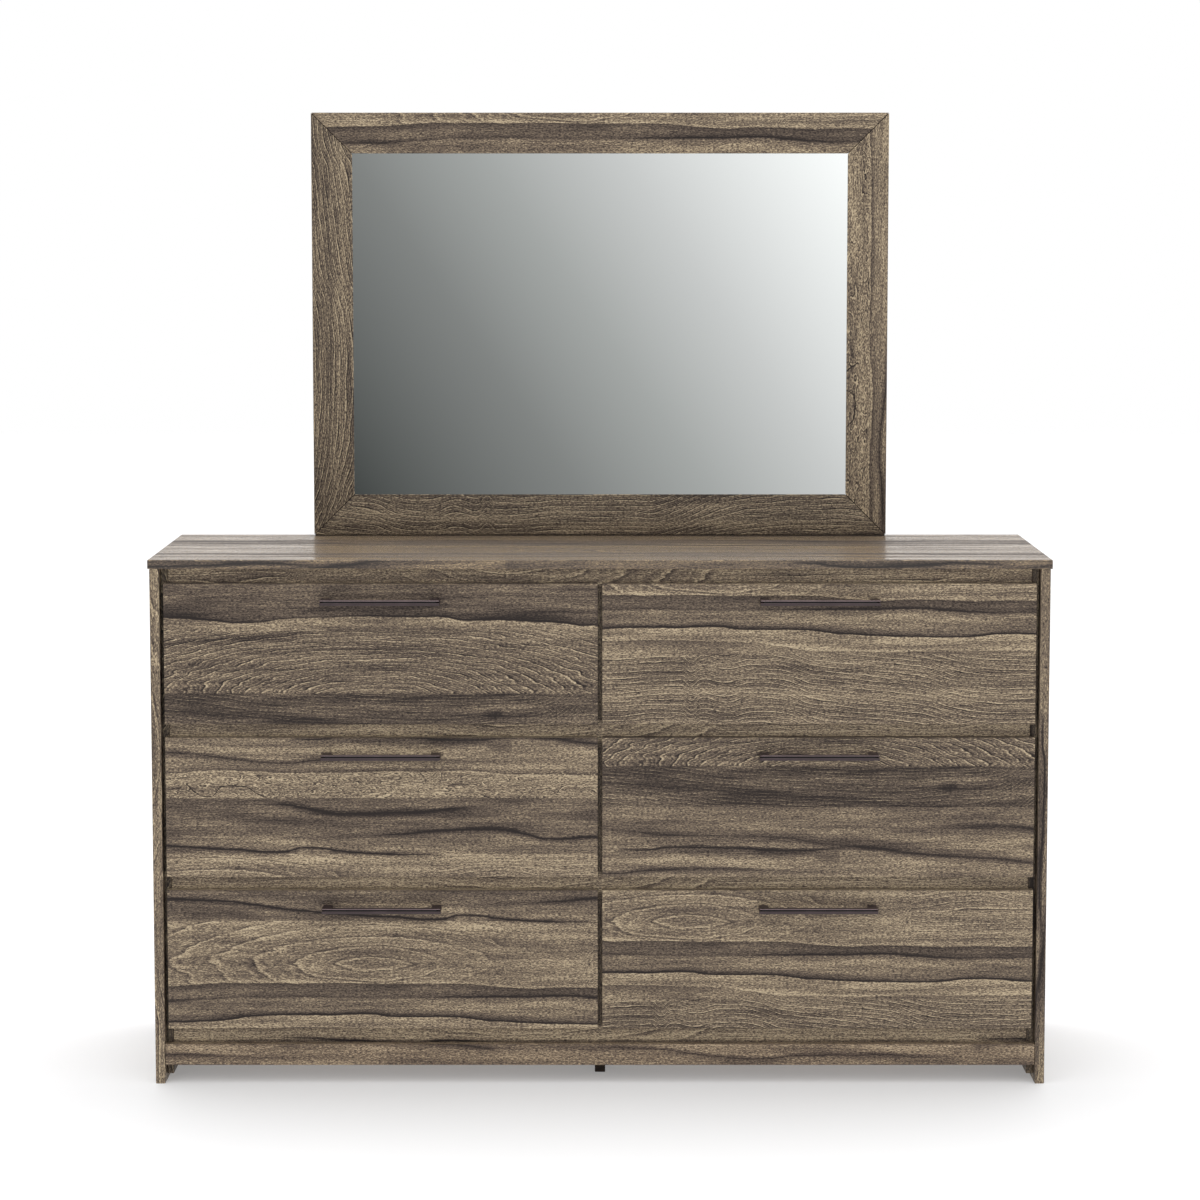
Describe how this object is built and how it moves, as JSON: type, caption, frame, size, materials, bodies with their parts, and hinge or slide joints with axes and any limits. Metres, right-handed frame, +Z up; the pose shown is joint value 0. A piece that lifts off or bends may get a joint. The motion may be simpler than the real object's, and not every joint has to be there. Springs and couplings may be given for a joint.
{
  "type": "dresser with mirror",
  "caption": "Wide low dresser with drawers in two columns on roller runners, bar handles, a base board and a framed mirror on two rear posts.",
  "frame": {"origin": "bottom centre of the whole object's box, on the floor", "axes": "+X to the right as seen from the front, +Y to the back, +Z up; the drawers open along -Y"},
  "size_m": [1.5, 0.4456, 1.637],
  "materials": {
    "laminate_across": "grey-brown rustic wood-grain laminate, grain running from side to side, satin",
    "laminate_upright": "grey-brown rustic wood-grain laminate, grain running upright, satin",
    "dark_board": "dark brown board, matt",
    "drawer_board": "paper-wrapped fibreboard with a plain light wood grain, matt",
    "hardboard": "thin brown hardboard, matt",
    "handle_bronze": "dark bronze, satin",
    "runner_steel": "zinc-plated folded steel",
    "mirror_glass": "silvered glass"
  },
  "bodies": {
    "carcass": {"top_panel": "laminate_across", "side_panel_left": "laminate_upright", "side_panel_right": "laminate_upright", "back_panel": "hardboard", "front_stile_left": "dark_board", "front_stile_right": "dark_board", "rear_stile_left": "dark_board", "rear_stile_right": "dark_board", "top_rail": "laminate_across", "upper_rail": "laminate_across", "lower_rail": "laminate_across", "bottom_rail": "laminate_across", "rear_top_rail": "dark_board", "centre_divider": "laminate_upright", "base_board": "laminate_across", "centre_foot": "dark_board", "runner_top_left_outer": "runner_steel", "runner_top_left_inner": "runner_steel", "runner_top_right_outer": "runner_steel", "runner_top_right_inner": "runner_steel", "runner_middle_left_outer": "runner_steel", "runner_middle_left_inner": "runner_steel", "runner_middle_right_outer": "runner_steel", "runner_middle_right_inner": "runner_steel", "runner_bottom_left_outer": "runner_steel", "runner_bottom_left_inner": "runner_steel", "runner_bottom_right_outer": "runner_steel", "runner_bottom_right_inner": "runner_steel", "mirror_frame_top": "laminate_across", "mirror_frame_bottom": "laminate_across", "mirror_frame_left": "laminate_upright", "mirror_frame_right": "laminate_upright", "mirror_glass": "mirror_glass", "mirror_backing": "hardboard", "mirror_post_left": "dark_board", "mirror_post_right": "dark_board"},
    "drawer_top_left": {"drawer_top_left_front": "laminate_across", "drawer_top_left_box": "drawer_board", "drawer_top_left_bottom": "hardboard", "drawer_top_left_handle": "handle_bronze"},
    "drawer_top_right": {"drawer_top_right_front": "laminate_across", "drawer_top_right_box": "drawer_board", "drawer_top_right_bottom": "hardboard", "drawer_top_right_handle": "handle_bronze"},
    "drawer_middle_left": {"drawer_middle_left_front": "laminate_across", "drawer_middle_left_box": "drawer_board", "drawer_middle_left_bottom": "hardboard", "drawer_middle_left_handle": "handle_bronze"},
    "drawer_middle_right": {"drawer_middle_right_front": "laminate_across", "drawer_middle_right_box": "drawer_board", "drawer_middle_right_bottom": "hardboard", "drawer_middle_right_handle": "handle_bronze"},
    "drawer_bottom_left": {"drawer_bottom_left_front": "laminate_across", "drawer_bottom_left_box": "drawer_board", "drawer_bottom_left_bottom": "hardboard", "drawer_bottom_left_handle": "handle_bronze"},
    "drawer_bottom_right": {"drawer_bottom_right_front": "laminate_across", "drawer_bottom_right_box": "drawer_board", "drawer_bottom_right_bottom": "hardboard", "drawer_bottom_right_handle": "handle_bronze"}
  },
  "joints": [
    {"name": "drawer_top_left_slide", "type": "slide", "parent": "carcass", "child": "drawer_top_left", "axis": [0, -1, 0], "range_m": [0, 0.26]},
    {"name": "drawer_top_right_slide", "type": "slide", "parent": "carcass", "child": "drawer_top_right", "axis": [0, -1, 0], "range_m": [0, 0.26]},
    {"name": "drawer_middle_left_slide", "type": "slide", "parent": "carcass", "child": "drawer_middle_left", "axis": [0, -1, 0], "range_m": [0, 0.26]},
    {"name": "drawer_middle_right_slide", "type": "slide", "parent": "carcass", "child": "drawer_middle_right", "axis": [0, -1, 0], "range_m": [0, 0.26]},
    {"name": "drawer_bottom_left_slide", "type": "slide", "parent": "carcass", "child": "drawer_bottom_left", "axis": [0, -1, 0], "range_m": [0, 0.26]},
    {"name": "drawer_bottom_right_slide", "type": "slide", "parent": "carcass", "child": "drawer_bottom_right", "axis": [0, -1, 0], "range_m": [0, 0.26]}
  ]
}
